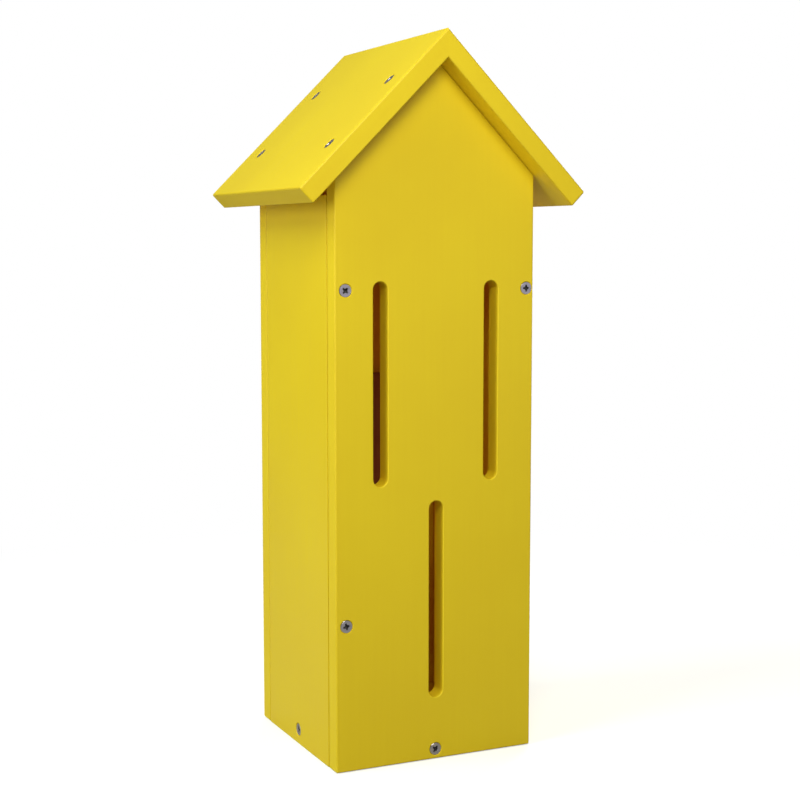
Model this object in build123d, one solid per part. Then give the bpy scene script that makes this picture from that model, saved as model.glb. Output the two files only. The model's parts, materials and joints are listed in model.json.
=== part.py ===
from build123d import *
import math
import os

# A free-standing or wall-mounted butterfly house made from plastic lumber boards.
# +X is the hinged side, -Y the front with its slots, +Z up. The origin is the centre
# of the footprint, on the surface that the house stands on. All sizes are in mm.

# Boards
body_width = 139.7  # front and back panels, edge to edge
wall_depth = 107.95  # side walls, between the front and back panels
shoulder_height = 377.8  # where the panels' vertical edges meet the roof
roof_pitch = 45.0  # degrees
panel_board = 12.7
wall_board = 12.7
floor_board = 12.7
roof_board = 12.7
roof_slope_length = 139.7  # ridge to eave along the top face
roof_overhang = 15.875  # past the front and back panels
vent_gap = 14.0  # from a wall's top edge up to the shoulder
edge_ease = 0.5  # small chamfer on every sawn edge

# Slots
slot_width = 10.0
slot_length = 129.0
slot_ease = 0.4
upper_slot_offset = 39.0  # each side of the centre line
upper_slot_drop = 132.0  # from the shoulder down to the slots' middle
lower_slot_height = 105.4  # to the slot's middle

# Hinged side door
pivot_drop = 58.8  # below the walls' top edge
pivot_edge_margin = 0.9  # left between the pivot screw's head and the panel's edge
door_side_gap = 0.6  # to the front and back panels
door_floor_gap = 0.4  # to the floor's edge
door_lift = 1.0  # bottom edge above the surface that the house stands on

# Climbing slat inside the back
slat_width = 38.0
slat_thickness = 9.5
slat_bottom = 45.0
slat_clearance = 3.0  # below the sweep of the door's upper end
slat_screw_inset = 20.0

# Holes for whoever mounts or drains it
mount_hole_diameter = 5.2
mount_hole_spacing = 250.0
lower_mount_hole_height = 30.0
drain_hole_diameter = 6.35
drain_hole_inset = 16.0

# Flat-head screws
shank_diameter = 4.2
head_diameter = 8.0
head_angle = 82.0
long_screw_length = 31.75
short_screw_length = 19.05
screw_point = 4.0
recess_width = 4.4
recess_slot = 1.1
recess_depth = 1.5
head_sink = 0.25  # below the board's face
roof_head_sink = 0.3
fixed_clearance = 0.05  # radial, round a driven screw
running_clearance = 0.08  # radial, round a screw that turns or slides
head_clearance = 0.1
tip_clearance = 0.5

# Screw places
wall_screw_inset = 7.2  # from the panels' left edge
lower_wall_screw_height = 94.0
wall_floor_screw_drop = 3.2  # below the floor's top face
upper_roof_screw_run = 30.3  # down a panel's sloping edge from its apex
lower_roof_screw_run = 11.5  # up a panel's sloping edge from its shoulder

# Derived
half_width = body_width / 2
half_wall_depth = wall_depth / 2
half_depth = half_wall_depth + panel_board
pitch = math.radians(roof_pitch)
apex_height = shoulder_height + half_width * math.tan(pitch)
ridge_height = apex_height + roof_board / math.cos(pitch)
wall_top = shoulder_height - vent_gap
wall_inner = half_width - wall_board
slope_edge = half_width / math.cos(pitch)
shank_radius = shank_diameter / 2
head_radius = head_diameter / 2
head_depth = (head_radius - shank_radius) / math.tan(math.radians(head_angle / 2))
pivot_inset = head_radius + pivot_edge_margin
pivot_x = half_width - pivot_inset
pivot_height = wall_top - pivot_drop
door_sweep = math.hypot(pivot_drop, wall_board - pivot_inset)
slat_top = pivot_height - door_sweep - slat_clearance
past = 5.0  # how far a cutter runs past the face it starts from

# Outward normals of the faces that screws are driven into
to_front = (0, -1, 0)
to_back = (0, 1, 0)
to_left = (-1, 0, 0)
to_right = (1, 0, 0)


def eased_board(x_range, y_range, z_range):
    board = Box(
        x_range[1] - x_range[0],
        y_range[1] - y_range[0],
        z_range[1] - z_range[0],
        align=Align.MIN,
    )
    board = Pos(x_range[0], y_range[0], z_range[0]) * board
    return chamfer(board.edges(), edge_ease)


def seat(point, normal, sink=0.0):
    # A frame on a board's face: z points out of the board, and the origin is sunk below it.
    outward = Vector(*normal).normalized()
    return Plane(origin=Vector(*point) - outward * sink, z_dir=outward).location


def screw(length):
    shank_end = length - screw_point
    profile = Polyline(
        (0, 0),
        (head_radius, 0),
        (shank_radius, -head_depth),
        (shank_radius, -shank_end),
        (0, -length),
        close=True,
    )
    body = revolve(Plane.XZ * make_face(profile), Axis.Z)
    arm = Box(recess_width, recess_slot, 2 * recess_depth)
    return body - arm - Rot(0, 0, 90) * arm


def screw_hole(length, clearance):
    radius = shank_radius + clearance
    mouth = head_radius + head_clearance
    slope = math.tan(math.radians(head_angle / 2))
    profile = Polyline(
        (0, past),
        (mouth, past),
        (mouth, 0),
        (radius, -(mouth - radius) / slope),
        (radius, -(length + tip_clearance)),
        (0, -(length + tip_clearance)),
        close=True,
    )
    return revolve(Plane.XZ * make_face(profile), Axis.Z)


def house_shape():
    outline = Polyline(
        (-half_width, 0),
        (half_width, 0),
        (half_width, shoulder_height),
        (0, apex_height),
        (-half_width, shoulder_height),
        close=True,
    )
    return make_face(outline)


def slot_cutters():
    cutters = []
    for x, z in slot_centres():
        upright = Pos(x, z) * Rot(0, 0, 90)
        outline = upright * SlotOverall(slot_length, slot_width)
        cutters.append(extrude(Plane.XZ.offset(half_depth + past) * outline, -(panel_board + 2 * past)))
        rim = upright * SlotOverall(slot_length + 2 * slot_ease, slot_width + 2 * slot_ease)
        cutters.append(extrude(Plane.XZ.offset(half_depth) * rim, -slot_ease, taper=45))
    return cutters


def slot_centres():
    return [
        (-upper_slot_offset, shoulder_height - upper_slot_drop),
        (upper_slot_offset, shoulder_height - upper_slot_drop),
        (0, lower_slot_height),
    ]


def front_panel():
    blank = extrude(Plane.XZ.offset(half_wall_depth) * house_shape(), panel_board)
    return chamfer(blank.edges(), edge_ease) - slot_cutters()


def back_panel():
    blank = extrude(Plane.XZ.offset(-half_wall_depth) * house_shape(), -panel_board)
    panel = chamfer(blank.edges(), edge_ease)
    hole = Rot(90, 0, 0) * Cylinder(mount_hole_diameter / 2, panel_board + 2 * past)
    for rise in (0, mount_hole_spacing):
        panel -= Pos(0, half_wall_depth + panel_board / 2, lower_mount_hole_height + rise) * hole
    return panel


def left_wall():
    return eased_board((-half_width, -wall_inner), (-half_wall_depth, half_wall_depth), (0, wall_top))


def side_door():
    reach = half_wall_depth - door_side_gap
    return eased_board((wall_inner, half_width), (-reach, reach), (door_lift, wall_top))


def floor_panel():
    panel = eased_board(
        (-wall_inner, wall_inner - door_floor_gap),
        (-half_wall_depth, half_wall_depth),
        (0, floor_board),
    )
    x = wall_inner - drain_hole_inset
    y = half_wall_depth - drain_hole_inset
    hole = Cylinder(drain_hole_diameter / 2, floor_board + 2 * past)
    for side in (-1, 1):
        for end in (-1, 1):
            panel -= Pos(side * x, end * y, floor_board / 2) * hole
    return panel


def right_roof_board():
    run = roof_slope_length * math.cos(pitch)
    drop = roof_slope_length * math.sin(pitch)
    outline = Polyline(
        (0, apex_height),
        (0, ridge_height),
        (run, ridge_height - drop),
        (run - roof_board * math.sin(pitch), ridge_height - drop - roof_board * math.cos(pitch)),
        close=True,
    )
    roof_half_depth = half_depth + roof_overhang
    blank = extrude(Plane.XZ.offset(roof_half_depth) * make_face(outline), -2 * roof_half_depth)
    ridge_edges = blank.faces().sort_by(Axis.X)[0].edges()
    return chamfer([edge for edge in blank.edges() if edge not in ridge_edges], edge_ease)


def climbing_slat():
    back = half_wall_depth
    return eased_board(
        (-slat_width / 2, slat_width / 2),
        (back - slat_thickness, back),
        (slat_bottom, slat_top),
    )


def roof_screw_point(side, end, run):
    # run is the distance down the panel's sloping edge; the point is on the board's top face
    x = run * math.cos(pitch) + roof_board * math.sin(pitch)
    z = apex_height - run * math.sin(pitch) + roof_board * math.cos(pitch)
    return (side * x, end * (half_wall_depth + panel_board / 2), z)


def screw_plan():
    # name: (place, length, radial clearance, boards it passes through)
    plan = {}
    ends = {"front": (-1, to_front), "back": (1, to_back)}
    wall_screw_heights = {"upper": pivot_height, "lower": lower_wall_screw_height}
    wall_floor_screw_height = floor_board - wall_floor_screw_drop
    roof_screw_runs = {"upper": upper_roof_screw_run, "lower": slope_edge - lower_roof_screw_run}
    for end, (sign, normal) in ends.items():
        face = sign * half_depth
        panel = f"{end}_panel"
        for level, height in wall_screw_heights.items():
            place = seat((wall_screw_inset - half_width, face, height), normal, head_sink)
            name = f"{end}_{level}_wall_screw"
            plan[name] = (place, long_screw_length, fixed_clearance, [panel, "left_wall"])
        place = seat((0, face, floor_board / 2), normal, head_sink)
        plan[f"{end}_floor_screw"] = (place, long_screw_length, fixed_clearance, [panel, "floor_panel"])
        place = seat((pivot_x, face, pivot_height), normal, head_sink)
        plan[f"{end}_pivot_screw"] = (place, long_screw_length, running_clearance, [panel, "side_door"])
    place = seat((-half_width, 0, wall_floor_screw_height), to_left, head_sink)
    plan["left_floor_screw"] = (place, long_screw_length, fixed_clearance, ["left_wall", "floor_panel"])
    place = seat((half_width, 0, wall_floor_screw_height), to_right, head_sink)
    boards = ["side_door", "floor_panel"]
    plan["door_retaining_screw"] = (place, long_screw_length, running_clearance, boards)
    for side_name, side in {"left": -1, "right": 1}.items():
        normal = (side * math.sin(pitch), 0, math.cos(pitch))
        for end, (sign, _) in ends.items():
            for level, run in roof_screw_runs.items():
                place = seat(roof_screw_point(side, sign, run), normal, roof_head_sink)
                boards = [f"{side_name}_roof_board", f"{end}_panel"]
                name = f"{side_name}_roof_{end}_{level}_screw"
                plan[name] = (place, long_screw_length, fixed_clearance, boards)
    slat_face = half_wall_depth - slat_thickness
    slat_screw_heights = {
        "lower": slat_bottom + slat_screw_inset,
        "upper": slat_top - slat_screw_inset,
    }
    for level, height in slat_screw_heights.items():
        place = seat((0, slat_face, height), to_front, head_sink)
        boards = ["climbing_slat", "back_panel"]
        plan[f"{level}_slat_screw"] = (place, short_screw_length, fixed_clearance, boards)
    return plan


def make_parts():
    right_board = right_roof_board()
    parts = {
        "front_panel": front_panel(),
        "back_panel": back_panel(),
        "left_wall": left_wall(),
        "side_door": side_door(),
        "floor_panel": floor_panel(),
        "left_roof_board": mirror(right_board, Plane.YZ),
        "right_roof_board": right_board,
        "climbing_slat": climbing_slat(),
    }
    for name, (place, length, clearance, boards) in screw_plan().items():
        cutter = place * screw_hole(length, clearance)
        for board in boards:
            parts[board] -= cutter
        parts[name] = place * screw(length)
    return parts


os.makedirs("parts", exist_ok=True)
for node, part in make_parts().items():
    export_step(part, f"parts/{node}.step")
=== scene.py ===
import json
import math
import random

import bmesh
import bpy
from mathutils import Matrix, Vector, noise


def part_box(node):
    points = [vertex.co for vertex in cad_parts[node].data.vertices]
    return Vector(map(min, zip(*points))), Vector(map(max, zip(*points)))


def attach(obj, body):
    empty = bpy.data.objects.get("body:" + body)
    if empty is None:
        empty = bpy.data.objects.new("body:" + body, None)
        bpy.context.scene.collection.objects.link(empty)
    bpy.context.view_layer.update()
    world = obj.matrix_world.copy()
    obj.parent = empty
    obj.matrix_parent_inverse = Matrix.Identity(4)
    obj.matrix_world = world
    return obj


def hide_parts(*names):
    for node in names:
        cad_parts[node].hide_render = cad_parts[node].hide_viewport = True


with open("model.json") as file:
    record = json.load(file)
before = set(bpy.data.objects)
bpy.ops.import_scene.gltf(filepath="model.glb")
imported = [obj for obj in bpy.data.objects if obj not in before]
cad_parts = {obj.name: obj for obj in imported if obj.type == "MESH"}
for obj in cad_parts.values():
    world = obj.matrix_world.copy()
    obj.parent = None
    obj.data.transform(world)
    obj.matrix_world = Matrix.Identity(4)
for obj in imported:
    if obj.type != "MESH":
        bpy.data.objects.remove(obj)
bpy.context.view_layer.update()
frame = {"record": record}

# Butterfly house in yellow plastic lumber. Metres, +Z up, front towards -Y, door on the +X side.
mm = 0.001
record = frame["record"]
bodyOf = {node: body for body, nodes in record["behaviour"]["bodies"].items() for node in nodes}
print("frame loaded:", len(bodyOf), "nodes")


class Wire:
    # one socket of a shader tree; sums on it add Math nodes to the same tree
    def __init__(self, tree, socket=None):
        self.tree = tree
        self.socket = socket

    def make(self, kind, settings=None, sockets=None, output=0):
        made = self.tree.nodes.new(kind)
        for name, value in (settings or {}).items():
            setattr(made, name, value)
        for name, value in (sockets or {}).items():
            if isinstance(value, Wire):
                self.tree.links.new(value.socket, made.inputs[name])
            else:
                made.inputs[name].default_value = value
        return Wire(self.tree, made.outputs[output] if made.outputs else None)

    def math(self, operation, *values):
        return self.make("ShaderNodeMath", {"operation": operation}, dict(enumerate(values)))

    def __add__(self, other):
        return self.math("ADD", self, other)

    def __sub__(self, other):
        return self.math("SUBTRACT", self, other)

    def __rsub__(self, other):
        return self.math("SUBTRACT", other, self)

    def __mul__(self, other):
        return self.math("MULTIPLY", self, other)

    __radd__ = __add__
    __rmul__ = __mul__

    def wave(self):
        # a sine from 0 to 1
        return self.math("SINE") * 0.5 + 0.5

    def step(self, low, high):
        # 0 below low, 1 above high, smooth between
        sockets = {"Value": self, "From Min": low, "From Max": high}
        return self.make("ShaderNodeMapRange", {"interpolation_type": "SMOOTHSTEP"}, sockets)

    def scaled(self, factors):
        return self.make("ShaderNodeVectorMath", {"operation": "MULTIPLY"}, {0: self, 1: factors})

    def axis(self, name):
        return self.make("ShaderNodeSeparateXYZ", None, {0: self}, name)

    def grains(self, perMetre, detail=2.0, roughness=0.5):
        # noise with about that many lumps a metre, from 0 to 1
        sockets = {"Vector": self, "Scale": perMetre, "Detail": detail, "Roughness": roughness}
        return self.make("ShaderNodeTexNoise", None, sockets)

    def between(self, low, high):
        # this wire picks between two colours
        return self.make("ShaderNodeMix", {"data_type": "RGBA"}, {0: self, 6: low, 7: high}, 2)


def newRecipe(name):
    material = bpy.data.materials.new(name)
    material.use_nodes = True
    material.node_tree.nodes.clear()
    graph = Wire(material.node_tree)
    place = graph.make("ShaderNodeTexCoord", output="Object")
    return material, graph, place


def finishRecipe(graph, surface, height, relief):
    # relief is how far, in metres, the surface rises where the height wire goes from 0 to 1
    bump = graph.make("ShaderNodeBump", None, {"Height": height, "Distance": relief, "Strength": 1.0})
    shader = graph.make("ShaderNodeBsdfPrincipled", None, {**surface, "Normal": bump})
    graph.make("ShaderNodeOutputMaterial", None, {"Surface": shader})


plasticLook = {
    "colour": (0.900, 0.672, 0.016, 1),
    "deep": (0.870, 0.630, 0.014, 1),  # where the pigment lies thicker
    "pale": (0.920, 0.760, 0.045, 1),  # tops of the pebble, and fuzz on the cuts
    "arrisShade": (0.620, 0.430, 0.012, 1),  # painted shade darkening the arrises
    "roughness": 0.36,
    "gloss": 0.35,
}
skinLook = {
    # noises: lumps a metre, detail, roughness
    "cloud": (9, 3),
    "streak": (420, 2),
    "pebble": (1500, 2, 0.6),
    "dimple": (260, 1),
    "streakStretch": 0.02,  # how much slower the streaks change along the board
    "pigmentBand": (0.3, 0.75),  # part of the noise over which the colour changes
    "pebbleTops": (0.62, 0.78),
    "pebblePale": 0.10,
    "roughSpread": 0.09,
    "relief": 0.00003,
}


def plasticSkin():
    # extruded face: smooth, with a fine pebble and faint streaks along the board
    look = skinLook
    material, graph, place = newRecipe("plasticSkin")
    cloud = place.grains(*look["cloud"])
    streak = place.scaled((1, look["streakStretch"], 1)).grains(*look["streak"])
    pebble = place.grains(*look["pebble"])
    dimple = place.grains(*look["dimple"])
    pigment = (cloud * 0.8 + streak * 0.2).step(*look["pigmentBand"])
    colour = pigment.between(plasticLook["deep"], plasticLook["colour"])
    tops = pebble.step(*look["pebbleTops"]) * look["pebblePale"]
    colour = tops.between(colour, plasticLook["pale"])
    middle = plasticLook["roughness"] - 1.5 * look["roughSpread"]  # three noises add up to about 1.5
    rough = (cloud + streak + pebble) * look["roughSpread"] + middle
    height = pebble * 0.35 + dimple * 0.45 + streak * 0.20
    surface = {"Base Color": colour, "Roughness": rough, "Specular IOR Level": plasticLook["gloss"]}
    finishRecipe(graph, surface, height, look["relief"])
    return material


cutLook = {
    # noises: lumps a metre, detail, roughness
    "wander": (60, 2),
    "cloud": (14, 3),
    "fuzz": (2200, 2, 0.6),
    "pitch": 1.3 * mm,  # of the cutter's marks
    "stray": 9,  # how far, in radians, the marks stray from even
    "pigmentBand": (0.3, 0.7),  # part of the noise over which the colour changes
    "fuzzTops": (0.55, 0.8),
    "fuzzPale": 0.05,
    "markPale": 0.02,
    "arrisShadeMix": 0.50,
    # how far the painted shade darkens the arrises
    "fuzzRough": 0.16,
    "markRough": 0.04,
    "extraRough": 0.02,
    "relief": 0.00002,
}


def plasticCut():
    # sawn and routed edges: fine cutter marks across them, fuzz, and painted shade darkening the arrises
    look = cutLook
    material, graph, place = newRecipe("plasticCut")
    run = graph.make("ShaderNodeUVMap", {"uv_map": "edge"}).axis("X")
    wander = place.grains(*look["wander"])
    mark = (run * (2 * math.pi / look["pitch"]) + wander * look["stray"]).wave()
    cloud = place.grains(*look["cloud"])
    fuzz = place.grains(*look["fuzz"])
    arris = graph.make("ShaderNodeAttribute", {"attribute_name": "arris"}, output="Fac")
    colour = cloud.step(*look["pigmentBand"]).between(plasticLook["deep"], plasticLook["colour"])
    paleness = fuzz.step(*look["fuzzTops"]) * look["fuzzPale"] + mark * look["markPale"]
    colour = paleness.between(colour, plasticLook["pale"])
    # painted shade: the arrises are darkened towards a deeper brown, most at the middle of each arris
    colour = (arris * look["arrisShadeMix"]).between(colour, plasticLook["arrisShade"])
    least = plasticLook["roughness"] + look["extraRough"]
    rough = fuzz * look["fuzzRough"] + mark * look["markRough"] + least
    surface = {"Base Color": colour, "Roughness": rough, "Specular IOR Level": plasticLook["gloss"]}
    finishRecipe(graph, surface, mark * 0.6 + fuzz * 0.4, look["relief"])
    return material


steelLook = {
    "bright": (0.62, 0.59, 0.69, 1),
    "dull": (0.40, 0.38, 0.45, 1),
    "recessShade": (0.030, 0.028, 0.018, 1),  # painted shade in the driver's recess
    "wobble": (900, 2),  # noises: lumps a metre, detail
    "cloud": (500, 3),
    "cloudBand": (0.45, 0.75),  # part of the noise over which the steel goes dull
    "ringPitch": 0.16 * mm,  # turning marks round the head
    "ringStray": 2.5,  # how far, in radians, they stray from even
    "roughness": 0.24,
    "dullest": 0.4,
    "recessShadeMix": 0.85,
    "cloudRough": 0.12,
    "recessRough": 0.4,
    "recessShadeFrom": 0.1 * mm,  # below the head's face
    "recessShadeTo": 0.9 * mm,
    "recess": 2.5 * mm,  # the painted shade stays inside this radius
    "recessFade": 0.2 * mm,
    "relief": 0.000004,
}


def screwSteel():
    # turned stainless, clouded, with painted shade darkening the driver's recess
    look = steelLook
    material, graph, place = newRecipe("screwSteel")
    flat = place.scaled((1, 1, 0))
    radius = graph.make("ShaderNodeVectorMath", {"operation": "LENGTH"}, {0: flat}, "Value")
    wobble = place.grains(*look["wobble"])
    ring = (radius * (2 * math.pi / look["ringPitch"]) + wobble * look["ringStray"]).wave()
    cloud = place.grains(*look["cloud"])
    # painted shade: darker and rougher down inside the driver's recess, below the head's face
    inside = 1 - radius.step(look["recess"] - look["recessFade"], look["recess"])
    recessShade = (-1 * place.axis("Z")).step(look["recessShadeFrom"], look["recessShadeTo"]) * inside
    clouded = cloud.step(*look["cloudBand"]) * look["dullest"]
    colour = clouded.between(look["bright"], look["dull"])
    colour = (recessShade * look["recessShadeMix"]).between(colour, look["recessShade"])
    rough = look["roughness"] + cloud * look["cloudRough"] + recessShade * look["recessRough"]
    surface = {"Base Color": colour, "Roughness": rough, "Metallic": 1.0}
    finishRecipe(graph, surface, ring * 0.7 + wobble * 0.3, look["relief"])
    return material


cedarLook = {
    "heart": (0.33, 0.135, 0.060, 1),
    "pale": (0.56, 0.30, 0.155, 1),
    "line": (0.17, 0.065, 0.030, 1),
    "bend": (22, 2),  # noises: lumps a metre, detail, roughness
    "fibre": (1900, 3, 0.65),
    "bendStretch": 0.12,  # how much slower they change along the slat
    "fibreStretch": 0.03,
    "rings": 2300,  # radians a metre across the slat
    "ringStray": 26,
    "paleBand": (0.3, 0.7),  # part of the noise over which the wood goes pale
    "lineBand": (0.35, 1.0),
    "fibreTops": (0.5, 0.8),
    "sawPitch": 2.6 * mm,
    "sawStray": 4,
    "lineDark": 0.55,
    "fibrePale": 0.35,
    "roughness": 0.7,
    "fibreRough": 0.2,
    "gloss": 0.25,
    "relief": 0.00022,
}


def roughCedar():
    # growth lines along the slat, loose fibres and a band saw's marks across it
    look = cedarLook
    material, graph, place = newRecipe("roughCedar")
    bend = place.scaled((1, 1, look["bendStretch"])).grains(*look["bend"])
    ringLine = (place.axis("X") * look["rings"] + bend * look["ringStray"]).wave()
    ringLine = ringLine.step(*look["lineBand"])
    fibre = place.scaled((1, 1, look["fibreStretch"])).grains(*look["fibre"])
    saw = (place.axis("Z") * (2 * math.pi / look["sawPitch"]) + bend * look["sawStray"]).wave()
    colour = bend.step(*look["paleBand"]).between(look["heart"], look["pale"])
    colour = (ringLine * look["lineDark"]).between(colour, look["line"])
    colour = (fibre.step(*look["fibreTops"]) * look["fibrePale"]).between(colour, look["pale"])
    rough = look["roughness"] + fibre * look["fibreRough"]
    surface = {"Base Color": colour, "Roughness": rough, "Specular IOR Level": look["gloss"]}
    finishRecipe(graph, surface, fibre * 0.55 + saw * 0.3 + ringLine * 0.15, look["relief"])
    return material


skin = plasticSkin()
cut = plasticCut()
steel = screwSteel()
cedar = roughCedar()
print("materials made")


leastRadius = 0.02 * mm  # a sharp corner keeps its arc's points, this close together
weldWithin = 1e-7


def ringOf(corners, radii, inset, steps=4):
    # the outline moved in by inset, each corner turned by an arc; corners run anticlockwise
    points = []
    for i, corner in enumerate(corners):
        before = (corner - corners[i - 1]).normalized()
        after = (corners[(i + 1) % len(corners)] - corner).normalized()
        inward = Vector((-before.y - after.y, before.x + after.x)).normalized()
        lean = inward.dot(Vector((-before.y, before.x)))
        radius = max(radii[i] - inset, leastRadius)
        centre = corner + inward * ((inset + radius) / lean)
        start = math.atan2(-before.x, before.y)
        turn = (math.atan2(-after.x, after.y) - start) % (2 * math.pi)
        for k in range(steps + 1):
            angle = start + turn * k / steps
            points.append(centre + radius * Vector((math.cos(angle), math.sin(angle))))
    return points


def easedProfile(thickness, outerEase, innerEase, steps=3):
    # (inset, depth, share of painted shade on the arris) from the outer face to the inner one
    outer, inner = [], []
    for k in range(steps + 1):
        angle = math.pi / 2 * k / steps
        across, down, shadeShare = 1 - math.sin(angle), 1 - math.cos(angle), math.sin(2 * angle)
        outer.append((outerEase * across, outerEase * down, shadeShare))
        inner.insert(0, (innerEase * across, thickness - innerEase * down, shadeShare))
    return outer + inner


def slotRings(centre, width, length, profile, steps=14):
    # an upright slot with round ends; it opens out where the profile is inset
    rings = []
    for inset, depth, _ in profile:
        ring = []
        for end in (0, 1):
            middle = centre + Vector((0, (0.5 - end) * (length - width)))
            for k in range(steps + 1):
                angle = math.pi * (end + k / steps)
                ring.append(middle + (width / 2 + inset) * Vector((math.cos(angle), math.sin(angle))))
        rings.append((ring, depth, 0.0))
    return rings


def roundRings(centre, stations, steps=40):
    # a turned hole: stations are (radius, depth)
    rings = []
    for radius, depth in stations:
        angles = [2 * math.pi * k / steps for k in range(steps)]
        ring = [centre + radius * Vector((math.cos(angle), math.sin(angle))) for angle in angles]
        rings.append((ring, depth, 0.0))
    return rings


def loftRings(mesh, rings, shift):
    # walls between rings; returns the edges of the first and the last ring
    arris = mesh.verts.layers.float["arris"]
    edgeMap = mesh.loops.layers.uv["edge"]
    loops = []
    for ring, depth, shadeShare in rings:
        loop = []
        for point in ring:
            vert = mesh.verts.new((point.x + shift.x, point.y + shift.y, -depth))
            vert[arris] = shadeShare
            loop.append(vert)
        loops.append(loop)
    count = len(loops[0])
    travel = [0.0]
    for k in range(count):
        travel.append(travel[-1] + (rings[0][0][(k + 1) % count] - rings[0][0][k]).length)
    for row in range(len(loops) - 1):
        upper, lower = loops[row], loops[row + 1]
        for k in range(count):
            onward = (k + 1) % count
            face = mesh.faces.new((upper[k], upper[onward], lower[onward], lower[k]))
            face.material_index = 1
            runs = (travel[k], travel[k + 1], travel[k + 1], travel[k])
            depths = (rings[row][1], rings[row][1], rings[row + 1][1], rings[row + 1][1])
            for corner, run, depth in zip(face.loops, runs, depths):
                corner[edgeMap].uv = (run, depth)
    return [
        [mesh.edges.get((loop[k - 1], loop[k])) for k in range(count)] for loop in (loops[0], loops[-1])
    ]


def newPiece(name, mesh, materials, place):
    bmesh.ops.remove_doubles(mesh, verts=mesh.verts, dist=weldWithin)
    bmesh.ops.recalc_face_normals(mesh, faces=mesh.faces)
    data = bpy.data.meshes.new(name)
    mesh.to_mesh(data)
    mesh.free()
    for material in materials:
        data.materials.append(material)
    piece = bpy.data.objects.new(name, data)
    bpy.context.scene.collection.objects.link(piece)
    piece.matrix_world = place
    return piece


def subtract(piece, cutter):
    # bites the cutter's mesh, in room coordinates, out of the piece
    tool = newPiece("cutter", cutter, [], Matrix())
    bite = piece.modifiers.new("bite", "BOOLEAN")
    bite.object = tool
    bite.solver = "EXACT"
    bpy.context.view_layer.update()
    whole = piece.data
    shaped = piece.evaluated_get(bpy.context.evaluated_depsgraph_get())
    piece.data = bpy.data.meshes.new_from_object(shaped)
    piece.data.name = whole.name
    piece.modifiers.remove(bite)
    bpy.data.objects.remove(tool)
    bpy.data.meshes.remove(whole)


def softShading(data, sharpest=math.radians(50)):
    # smooth everywhere but at edges that turn more than that
    mesh = bmesh.new()
    mesh.from_mesh(data)
    for face in mesh.faces:
        face.smooth = True
    for edge in mesh.edges:
        edge.smooth = len(edge.link_faces) == 2 and edge.calc_face_angle(0) < sharpest
    mesh.to_mesh(data)
    mesh.free()


def settle(piece, node):
    # the piece stands for that CAD node and moves with its body
    shading = piece.modifiers.new("evenShading", "WEIGHTED_NORMAL")
    shading.keep_sharp = True
    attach(piece, bodyOf[node])
    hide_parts(node)


# what all the boards share
boardLook = {
    "arris": 0.9 * mm,  # eased all round
    "corner": 0.8 * mm,
    "holeRim": 0.4 * mm,  # broken edge of a plain hole
    "overshoot": 1.0 * mm,  # how far a cutter runs past a face
    "pitch": math.radians(45),
    "frameChamfer": 0.5 * mm,  # on the frame's own boards, so that their boxes lose the tips
}
# where the frame puts them
cornerLoss = boardLook["frameChamfer"] / math.sqrt(2)
frontLow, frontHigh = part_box("front_panel")
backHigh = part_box("back_panel")[1]
wallLow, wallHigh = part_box("left_wall")
doorLow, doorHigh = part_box("side_door")
floorLow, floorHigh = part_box("floor_panel")
roofLow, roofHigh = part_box("right_roof_board")
halfWidth = frontHigh.x
apexHeight = frontHigh.z + cornerLoss
shoulderHeight = apexHeight - halfWidth * math.tan(boardLook["pitch"])
panelThickness = frontHigh.y - frontLow.y
wallThickness = wallHigh.x - wallLow.x
floorThickness = floorHigh.z - floorLow.z
roofThickness = (roofHigh.z - apexHeight) * math.cos(boardLook["pitch"])
roofRun = (roofHigh.x + cornerLoss) / math.cos(boardLook["pitch"])

screwLook = {
    "length": 31.75 * mm,
    "slatLength": 19.05 * mm,
    "headRadius": 4.0 * mm,
    "headLand": 0.25 * mm,
    "headSlope": math.tan(math.radians(41)),
    "headRim": 0.12 * mm,  # broken edge of the head's face
    "headRimDepth": 0.1 * mm,
    "headRows": [depth * mm for depth in (0.8, 1.4, 2.0, 2.44, 3.2)],
    "shankRadius": 2.1 * mm,
    "coreRadius": 1.45 * mm,
    "plainShank": 5.0 * mm,  # from the top of the head to the first thread
    "threadPitch": 2.8 * mm,
    "threadWidth": 0.42,  # of the pitch
    "point": 4.0 * mm,
    "recessReach": 2.3 * mm,
    "recessHalf": 0.62 * mm,
    "recessDepth": 1.9 * mm,
    "recessOver": 0.3 * mm,  # how far its cutter stands over the head
    "recessFlare": 1.06,  # and how much wider it is there
    "recessTaper": ((0.82, 0.66), (1.0, 0.3)),  # shares of the depth and of the reach
    "recessHub": 1.6,  # half width where the arms cross, over an arm's own
    "recessArm": 0.6,  # share of the reach where an arm's sides start
    "sharpest": math.radians(38),  # edges that turn more stay sharp
    "mouthRadius": 4.4 * mm,  # countersink in the board
    "mouthLip": 0.2 * mm,
    "mouthLand": 0.05 * mm,  # straight part of it below the head's face
    "boreRadius": 2.18 * mm,
}


def outwardOf(node):
    # the way a screw's head faces
    slope = math.sin(boardLook["pitch"])
    if "_roof_" in node:
        return Vector((-slope if node.startswith("left") else slope, 0, slope))
    if node.startswith("front") or node.endswith("slat_screw"):
        return Vector((0, -1, 0))
    if node.startswith("back"):
        return Vector((0, 1, 0))
    return Vector((-1 if node.startswith("left") else 1, 0, 0))


def headBoard(node):
    # the board that a screw's head is seated in
    side = node.split("_")[0]
    if "_roof_" in node:
        return side + "_roof_board"
    if node.endswith("slat_screw"):
        return "climbing_slat"
    if side in ("front", "back"):
        return side + "_panel"
    return "left_wall" if side == "left" else "side_door"


def headSeat(node):
    # middle of a screw's head, from its box and the way it faces
    low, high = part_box(node)
    out = outwardOf(node)
    seat = (low + high) / 2
    for axis in range(3):
        if abs(out[axis]) > 0.01:
            edge = high[axis] if out[axis] > 0 else low[axis]
            spread = screwLook["headRadius"] * math.sqrt(max(1 - out[axis] ** 2, 0))
            seat[axis] = edge - math.copysign(spread, out[axis])
    return seat


screwNodes = sorted(node for node in bodyOf if node.endswith("_screw"))


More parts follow.
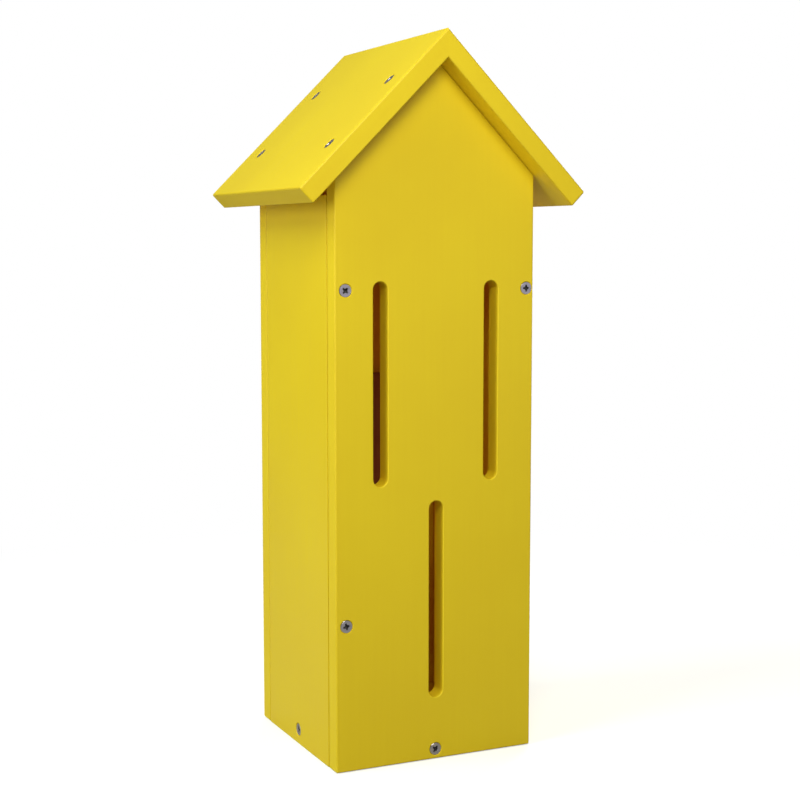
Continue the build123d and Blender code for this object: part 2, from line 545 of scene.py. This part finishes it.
def mouthStations(sunk, thickness):
    # a countersunk hole down from the face: (radius, depth)
    mouth, bore, lip = screwLook["mouthRadius"], screwLook["boreRadius"], screwLook["mouthLip"]
    past = boardLook["overshoot"]
    top = [(mouth + lip, -past), (mouth + lip, 0), (mouth, lip)]
    throat = sunk + (mouth - bore) / screwLook["headSlope"]
    return top + [(mouth, sunk + screwLook["mouthLand"]), (bore, throat), (bore, thickness + past)]


def screwHoles(board, place, thickness):
    # one cutter for all the screws whose heads sit in this board
    cutter = bmesh.new()
    into = place.inverted()
    for node in screwNodes:
        if headBoard(node) == board:
            spot = into @ headSeat(node)
            where = place @ Matrix.Translation((spot.x, spot.y, 0))
            turnedCutter(cutter, where, mouthStations(-spot.z, thickness))
    return cutter


def turnedCutter(cutter, place, stations, steps=40):
    # adds a closed turned solid to a cutter; stations are (radius, depth below the place)
    loops = []
    for radius, depth in stations:
        angles = [2 * math.pi * k / steps for k in range(steps)]
        spots = [place @ Vector((radius * math.cos(a), radius * math.sin(a), -depth)) for a in angles]
        loops.append([cutter.verts.new(spot) for spot in spots])
    for upper, lower in zip(loops, loops[1:]):
        for k in range(steps):
            cutter.faces.new((upper[k - 1], upper[k], lower[k], lower[k - 1]))
    cutter.faces.new(loops[0])
    cutter.faces.new(loops[-1])


def drilled(centre, radius, thickness, backToo=False):
    # a plain hole with its rim broken
    rim = boardLook["holeRim"]
    stations = [(radius + rim, 0), (radius, rim), (radius, thickness - (rim if backToo else 0))]
    if backToo:
        stations.append((radius + rim, thickness))
    return roundRings(Vector(centre), stations)


def boardPlace(origin, across, along):
    # board coordinates to the room: across and along the outer face, and out of it
    out = Vector(across).cross(Vector(along))
    return Matrix.Translation(origin) @ Matrix((across, along, out)).transposed().to_4x4()


def plainOutline(corners, thickness, ease=boardLook["arris"]):
    radii = [boardLook["corner"]] * len(corners)
    profile = easedProfile(thickness, ease, ease)
    return [(ringOf(corners, radii, inset), depth, shadeShare) for inset, depth, shadeShare in profile]


def boxCorners(lowU, lowV, highU, highV):
    return [Vector((lowU, lowV)), Vector((highU, lowV)), Vector((highU, highV)), Vector((lowU, highV))]


def makeBoard(node, place, outline, cutouts, thickness, sideBore=None):
    # outline: rings from the outer face to the inner one; the same for each cutout
    shift = Vector((random.uniform(-1, 1), random.uniform(-1, 1)))  # its own stretch of plank
    mesh = bmesh.new()
    mesh.verts.layers.float.new("arris")
    mesh.loops.layers.uv.new("edge")
    outer, inner = loftRings(mesh, outline, shift)
    for rings in cutouts:
        first, last = loftRings(mesh, rings, shift)
        outer += first
        inner += last
    bmesh.ops.triangle_fill(mesh, use_beauty=True, edges=outer)
    bmesh.ops.triangle_fill(mesh, use_beauty=True, edges=inner)
    where = place @ Matrix.Translation((-shift.x, -shift.y, 0))
    piece = newPiece(node + "_shaped", mesh, [skin, cut], where)
    cutter = screwHoles(node, place, thickness)
    if sideBore:
        turnedCutter(cutter, *sideBore)
    if cutter.verts:
        subtract(piece, cutter)
    softShading(piece.data)
    settle(piece, node)


houseCorners = [
    Vector((-halfWidth, 0)),
    Vector((halfWidth, 0)),
    Vector((halfWidth, shoulderHeight)),
    Vector((0, apexHeight)),
    Vector((-halfWidth, shoulderHeight)),
]


frontLook = {
    "slotWidth": 10.0 * mm,
    "slotLength": 129.0 * mm,
    "slotArris": 0.7 * mm,
}


def frontPanel():
    look = frontLook
    place = boardPlace((0, frontLow.y, 0), (1, 0, 0), (0, 0, 1))
    profile = easedProfile(panelThickness, look["slotArris"], look["slotArris"])
    slots = []
    for opening in record["physics"]["openings"]:
        if opening["name"].endswith("_slot"):
            low, high = (Vector(corner) for corner in opening["box_m"])
            centre = (low + high).xz / 2
            slots.append(slotRings(centre, look["slotWidth"], look["slotLength"], profile))
    makeBoard("front_panel", place, plainOutline(houseCorners, panelThickness), slots, panelThickness)


def backPanel():
    place = boardPlace((0, backHigh.y, 0), (-1, 0, 0), (0, 0, 1))
    mount = next(mount for mount in record["mounts"] if mount["kind"] == "bolt_pattern")
    radius = mount["dims"]["hole_r_mm"] * mm
    spread = mount["dims"]["spacing_y_mm"] * mm / 2
    heights = (mount["pos_m"][2] - spread, mount["pos_m"][2] + spread)
    holes = [drilled((0, height), radius, panelThickness) for height in heights]
    makeBoard("back_panel", place, plainOutline(houseCorners, panelThickness), holes, panelThickness)


leftWallLook = {
    "arris": 0.35 * mm,  # left crisper than the other boards
    "seam": 0.8 * mm,  # shadow gap to each panel
}


def leftWall():
    place = boardPlace((wallLow.x, 0, 0), (0, -1, 0), (0, 0, 1))
    rear = leftWallLook["seam"] - wallHigh.y
    front = -wallLow.y - leftWallLook["seam"]
    corners = boxCorners(rear, wallLow.z, front, wallHigh.z)
    outline = plainOutline(corners, wallThickness, leftWallLook["arris"])
    makeBoard("left_wall", place, outline, [], wallThickness)


def sideDoor():
    place = boardPlace((doorHigh.x, 0, 0), (0, 1, 0), (0, 0, 1))
    corners = boxCorners(doorLow.y, doorLow.z, doorHigh.y, doorHigh.z)
    makeBoard("side_door", place, plainOutline(corners, wallThickness), [], wallThickness)


floorPanelLook = {
    "drainRadius": 3.175 * mm,
    "drainInset": 16.0 * mm,
}


def floorPanel():
    place = boardPlace((0, 0, floorLow.z), (1, 0, 0), (0, -1, 0))
    corners = boxCorners(floorLow.x, -floorHigh.y, floorHigh.x, -floorLow.y)
    radius, inset = floorPanelLook["drainRadius"], floorPanelLook["drainInset"]
    sides = [abs(floorLow.x) - inset, inset - abs(floorLow.x)]
    ends = [floorHigh.y - inset, inset - floorHigh.y]
    drains = [drilled((side, end), radius, floorThickness, True) for side in sides for end in ends]
    # the hole that the door's retaining screw bites into
    low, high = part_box("door_retaining_screw")
    mouth = Vector((floorHigh.x, (low.y + high.y) / 2, (low.z + high.z) / 2))
    where = Matrix.Translation(mouth) @ Matrix.Rotation(math.pi / 2, 4, "Y")
    bore, rim = screwLook["boreRadius"], boardLook["holeRim"]
    stations = [(bore + rim, -boardLook["overshoot"]), (bore + rim, 0), (bore, rim)]
    stations.append((bore, mouth.x - low.x + rim))
    outline = plainOutline(corners, floorThickness)
    makeBoard("floor_panel", place, outline, drains, floorThickness, (where, stations))


roofLook = {
    "arris": 1.3 * mm,  # the upper edges are rounded more than other boards'
    "cornerMore": 0.1 * mm,  # the corners' radius, over that
    "arrisSteps": 4,
}


def roofBoard(side):
    # side is -1 for the left board; the ridge edge is mitred and stays sharp
    slope = boardLook["pitch"]
    along = (side * math.cos(slope), 0, -math.sin(slope))
    place = boardPlace((0, 0, roofHigh.z), (0, -side, 0), along)
    ease = roofLook["arris"]
    radii = [0, 0, ease + roofLook["cornerMore"], ease + roofLook["cornerMore"]]
    rings = []
    profile = easedProfile(roofThickness, ease, boardLook["arris"], roofLook["arrisSteps"])
    for inset, depth, shadeShare in profile:
        ridge = depth * math.tan(slope)
        corners = boxCorners(roofLow.y, ridge - inset, roofHigh.y, roofRun)
        rings.append((ringOf(corners, radii, inset), depth, shadeShare))
    node = ("left" if side < 0 else "right") + "_roof_board"
    makeBoard(node, place, rings, [], roofThickness)


random.seed(11)
frontPanel()
backPanel()
leftWall()
sideDoor()
floorPanel()
roofBoard(-1)
roofBoard(1)
print("boards shaped")


def screwRadius(depth, angle, length):
    look = screwLook
    head = look["headRadius"] - max(depth - look["headLand"], 0) * look["headSlope"]
    past = depth - look["plainShank"]
    if past < 0:
        return max(head, look["shankRadius"])
    phase = (past / look["threadPitch"] + angle / (2 * math.pi)) % 1
    crest = max(1 - abs(phase - 0.5) * 2 / look["threadWidth"], 0)
    grown = min(past / look["threadPitch"], 1)
    core = look["coreRadius"] + (look["shankRadius"] - look["coreRadius"]) * (1 - grown)
    radius = core + (look["shankRadius"] - core) * crest
    return radius * min((length - depth) / look["point"], 1)


def driverRecess():
    # a cross that narrows as it goes down
    look = screwLook
    stations = [(-look["recessOver"], look["recessFlare"])]
    stations += [(look["recessDepth"] * down, share) for down, share in look["recessTaper"]]
    cutter = bmesh.new()
    loops = []
    for depth, share in stations:
        reach, half = look["recessReach"] * share, look["recessHalf"] * (0.55 + 0.45 * share)
        hub, arm = half * look["recessHub"], reach * look["recessArm"]
        quarter = [(reach, -half), (reach, half), (arm, half), (hub, hub), (half, arm)]
        loop = []
        for turn in range(4):
            for x, y in quarter:
                spun = Matrix.Rotation(math.pi / 2 * turn, 2) @ Vector((x, y))
                loop.append(cutter.verts.new((spun.x, spun.y, -depth)))
        loops.append(loop)
    for upper, lower in zip(loops, loops[1:]):
        for k in range(len(upper)):
            cutter.faces.new((upper[k - 1], upper[k], lower[k], lower[k - 1]))
    cutter.faces.new(loops[0])
    cutter.faces.new(loops[-1])
    return cutter


def turnScrew(length, around=24, row=0.25 * mm):
    # a flat-head wood screw, head up at the origin
    look = screwLook
    mesh = bmesh.new()
    depths = [look["headRimDepth"], look["headLand"]] + look["headRows"]
    rows = round((length - look["plainShank"]) / row)
    depths += [look["plainShank"] + (length - look["plainShank"]) * k / rows for k in range(rows)]
    angles = [2 * math.pi * k / around for k in range(around)]
    loops = []
    for depth in [0.0] + depths:
        loop = []
        for angle in angles:
            radius = screwRadius(depth, angle, length) - (look["headRim"] if depth == 0 else 0)
            loop.append(mesh.verts.new((radius * math.cos(angle), radius * math.sin(angle), -depth)))
        loops.append(loop)
    for upper, lower in zip(loops, loops[1:]):
        for k in range(around):
            mesh.faces.new((upper[k - 1], upper[k], lower[k], lower[k - 1]))
    tip = mesh.verts.new((0, 0, -length))
    for k in range(around):
        mesh.faces.new((loops[-1][k - 1], loops[-1][k], tip))
    mesh.faces.new(loops[0])
    return mesh


def makeScrews():
    patterns = {}
    for length in (screwLook["length"], screwLook["slatLength"]):
        pattern = newPiece("pattern", turnScrew(length), [steel], Matrix())
        subtract(pattern, driverRecess())
        softShading(pattern.data, screwLook["sharpest"])
        patterns[length] = pattern
    for node in screwNodes:
        onSlat = headBoard(node) == "climbing_slat"
        data = patterns[screwLook["slatLength" if onSlat else "length"]].data.copy()
        data.name = node + "_turned"
        screw = bpy.data.objects.new(data.name, data)
        bpy.context.scene.collection.objects.link(screw)
        facing = outwardOf(node).to_track_quat("Z", "Y").to_matrix().to_4x4()
        twist = Matrix.Rotation(random.uniform(0, math.pi / 2), 4, "Z")
        screw.matrix_world = Matrix.Translation(headSeat(node)) @ facing @ twist
        settle(screw, node)
    for pattern in patterns.values():
        bpy.data.objects.remove(pattern)


makeScrews()
print("screws driven:", len(screwNodes))

slatLook = {
    "across": 0.8 * mm,  # mesh size
    "down": 1.5 * mm,
    "corner": 0.7 * mm,
    "fibre": 0.30 * mm,  # depth of the torn fibres
    "edgeBand": 1.0 * mm,  # points nearer to a face than this move in from it
    "grain": (900, 45),  # lumps a metre, across and along
    "tear": (240, 14),
    "tearPlace": 7,  # keeps the tears apart from the grain
}


def climbingSlat():
    low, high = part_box("climbing_slat")
    middle = (low + high) / 2
    half = (high - low) / 2
    depth, tearPlace = slatLook["fibre"], slatLook["tearPlace"]
    (grainAcross, grainAlong), (tearAcross, tearAlong) = slatLook["grain"], slatLook["tear"]
    edgeX, edgeY = half.x - slatLook["edgeBand"], half.y - slatLook["edgeBand"]
    mesh = bmesh.new()
    base = ringOf(boxCorners(-half.x, -half.y, half.x, half.y), [slatLook["corner"]] * 4, 0, 2)
    ring = []
    for k, point in enumerate(base):
        onward = base[(k + 1) % len(base)]
        pieces = max(round((onward - point).length / slatLook["across"]), 1)
        ring += [point.lerp(onward, j / pieces) for j in range(pieces)]
    rows = round(2 * half.z / slatLook["down"])
    loops = []
    for row in range(rows + 1):
        height = -half.z + 2 * half.z * row / rows
        loop = []
        for point in ring:
            fine = Vector((point.x * grainAcross, point.y * grainAcross, height * grainAlong))
            coarse = Vector((point.x * tearAcross, point.y * tearAcross + tearPlace, height * tearAlong))
            cutIn = depth * (0.5 + 0.35 * noise.noise(fine) + 0.35 * noise.noise(coarse))
            inward = Vector((-point.x / half.x if abs(point.x) > edgeX else 0, 0))
            inward.y = -point.y / half.y if abs(point.y) > edgeY else 0
            moved = point + inward.normalized() * max(cutIn, 0)
            loop.append(mesh.verts.new((moved.x, moved.y, height)))
        loops.append(loop)
    for lower, upper in zip(loops, loops[1:]):
        for k in range(len(ring)):
            mesh.faces.new((lower[k - 1], lower[k], upper[k], upper[k - 1]))
    for loop in (loops[0], loops[-1]):
        edges = [mesh.edges.get((loop[k - 1], loop[k])) for k in range(len(ring))]
        bmesh.ops.triangle_fill(mesh, use_beauty=True, edges=edges)
    piece = newPiece("climbing_slat_shaped", mesh, [cedar], Matrix.Translation(middle))
    face = boardPlace((0, low.y, 0), (1, 0, 0), (0, 0, 1))
    subtract(piece, screwHoles("climbing_slat", face, high.y - low.y))
    softShading(piece.data)
    settle(piece, "climbing_slat")


climbingSlat()
print("slat sawn")

cameraLook = {
    "place": (-0.4399, -0.9514, 0.3357),
    "aim": (-0.0257, -0.0667, 0.2359),
    "lens": 70.2,
    "sensor": 36,
}


def addCamera():
    data = bpy.data.cameras.new("studioCamera")
    data.lens = cameraLook["lens"]
    data.sensor_width = cameraLook["sensor"]
    camera = bpy.data.objects.new("studioCamera", data)
    bpy.context.scene.collection.objects.link(camera)
    camera.location = cameraLook["place"]
    view = Vector(cameraLook["aim"]) - camera.location
    camera.rotation_euler = view.to_track_quat("-Z", "Y").to_euler()
    bpy.context.scene.camera = camera


addCamera()

studioLook = {
    "white": (1, 1, 1, 1),
    "ambient": 0.145,  # the backdrop's own light on the house; the eye sees it at full strength
    "lamps": [
        # name, place, aim, width, height, watts, colour
        ("key", (-0.24, -0.78, 0.85), (0, -0.07, 0.37), 0.45, 0.35, 4.8, (0.99, 1.0, 0.80)),
        ("front", (-0.30, -1.00, 0.70), (0, 0, 0.35), 0.60, 0.45, 1.6, (1.0, 0.95, 0.80)),
        ("frontRight", (0.47, -1.00, 0.30), (0, 0, 0.25), 0.50, 0.50, 0.4, (0.97, 0.95, 1.0)),
        ("leftHigh", (-1.00, -0.10, 1.25), (0, 0, 0.30), 0.70, 0.70, 8.6, (0.87, 1.0, 0.85)),
        ("leftLow", (-1.35, -0.15, 0.50), (0, 0, 0.20), 0.90, 0.60, 6.9, (1.0, 1.0, 0.93)),
        ("rear", (0.90, 1.10, 0.60), (0, 0, 0.25), 0.90, 0.90, 15.0, (1.0, 0.99, 0.97)),
        # stands for the light that many bounces would leave inside the house
        ("inside", (-0.045, -0.045, 0.20), (0.05, 0.05, 0.20), 0.01, 0.30, 0.014, (1.0, 0.25, 0.12)),
    ],
}


def addStudio():
    scene = bpy.context.scene
    scene.view_settings.view_transform = "Standard"
    world = bpy.data.worlds.new("studio")
    world.use_nodes = True
    world.node_tree.nodes.clear()
    scene.world = world
    sky = Wire(world.node_tree)
    seen = sky.make("ShaderNodeLightPath", output="Is Camera Ray")
    ambient = studioLook["ambient"]
    strength = seen * (1 - ambient) + ambient
    shine = {"Color": studioLook["white"], "Strength": strength}
    background = sky.make("ShaderNodeBackground", None, shine)
    sky.make("ShaderNodeOutputWorld", None, {"Surface": background})
    for name, place, aim, width, height, watts, colour in studioLook["lamps"]:
        data = bpy.data.lights.new(name, "AREA")
        data.shape = "RECTANGLE"
        data.size = width
        data.size_y = height
        data.energy = watts
        data.color = colour
        lamp = bpy.data.objects.new(name, data)
        scene.collection.objects.link(lamp)
        lamp.location = place
        lamp.rotation_euler = (Vector(aim) - lamp.location).to_track_quat("-Z", "Y").to_euler()
        lamp.visible_camera = False


floorLook = {
    "thrown": (0.34, 0.335, 0.33, 1),  # what it throws back up
    "paper": (0.8, 0.8, 0.8, 1),  # what the eye sees near the house
    "lift": 0.45,
    "paleFrom": 0.25,  # metres out from the middle where it starts to brighten
    "paleTo": 0.75,
    "radius": 6.0,
    "sides": 96,
    "drop": 0.0004,  # below the house's foot
}


def addFloor():
    # a pale sheet: the eye sees it nearly white, and it throws little light back up
    look = floorLook
    material, graph, place = newRecipe("paleFloor")
    seen = graph.make("ShaderNodeLightPath", output="Is Camera Ray")
    matt = graph.make("ShaderNodeBsdfDiffuse", None, {"Color": look["thrown"]})
    paper = graph.make("ShaderNodeBsdfDiffuse", None, {"Color": look["paper"]})
    glow = {"Color": studioLook["white"], "Strength": look["lift"]}
    lift = graph.make("ShaderNodeEmission", None, glow)
    near = graph.make("ShaderNodeAddShader", None, {0: paper, 1: lift})
    white = graph.make("ShaderNodeEmission", None, {"Color": studioLook["white"], "Strength": 1.0})
    out = graph.make("ShaderNodeVectorMath", {"operation": "LENGTH"}, {0: place}, "Value")
    spread = out.step(look["paleFrom"], look["paleTo"])
    shown = graph.make("ShaderNodeMixShader", None, {0: spread, 1: near, 2: white})
    sheet = graph.make("ShaderNodeMixShader", None, {0: seen, 1: matt, 2: shown})
    graph.make("ShaderNodeOutputMaterial", None, {"Surface": sheet})
    mesh = bmesh.new()
    bmesh.ops.create_circle(mesh, cap_ends=True, segments=look["sides"], radius=look["radius"])
    floor = newPiece("paleFloor", mesh, [material], Matrix.Translation((0, 0, -look["drop"])))


addStudio()
addFloor()
print("studio lit")
